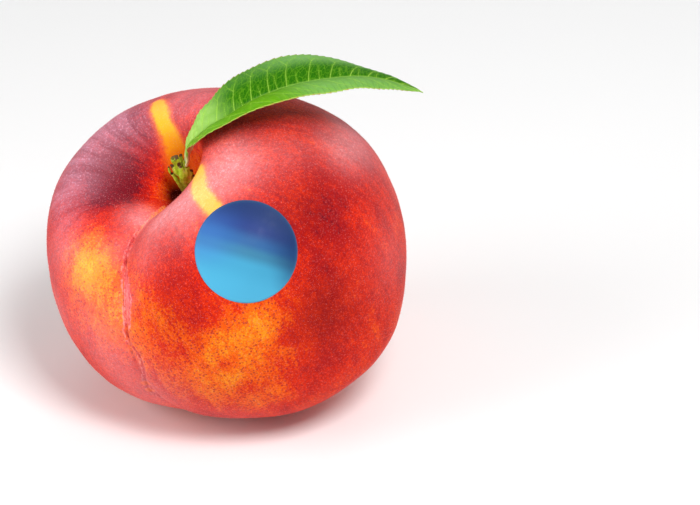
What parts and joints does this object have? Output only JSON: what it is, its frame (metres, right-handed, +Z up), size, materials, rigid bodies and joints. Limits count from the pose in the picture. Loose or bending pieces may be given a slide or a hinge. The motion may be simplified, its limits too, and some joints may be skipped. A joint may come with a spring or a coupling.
{
  "type": "peach",
  "caption": "Whole lobed peach with a stem cavity, cut stem, one arched leaf and a plain round sticker, resting on a small flat spot.",
  "frame": {"origin": "centre of the small flat spot that the fruit rests on", "axes": "+Z up, +X to the right and +Y away from a viewer who faces the suture and the sticker"},
  "size_m": [0.0821, 0.0776, 0.0766],
  "materials": {
    "skin": "soft fuzzy skin, red blush over yellow",
    "stem": "matte green bark with brown tips",
    "leaf": "glossy fresh green with pale veins",
    "sticker": "satin printed film, dark blue to light blue, with no print on it"
  },
  "bodies": {
    "root": {"fruit": "skin", "stem": "stem", "leaf": "leaf", "sticker": "sticker"}
  },
  "joints": []
}
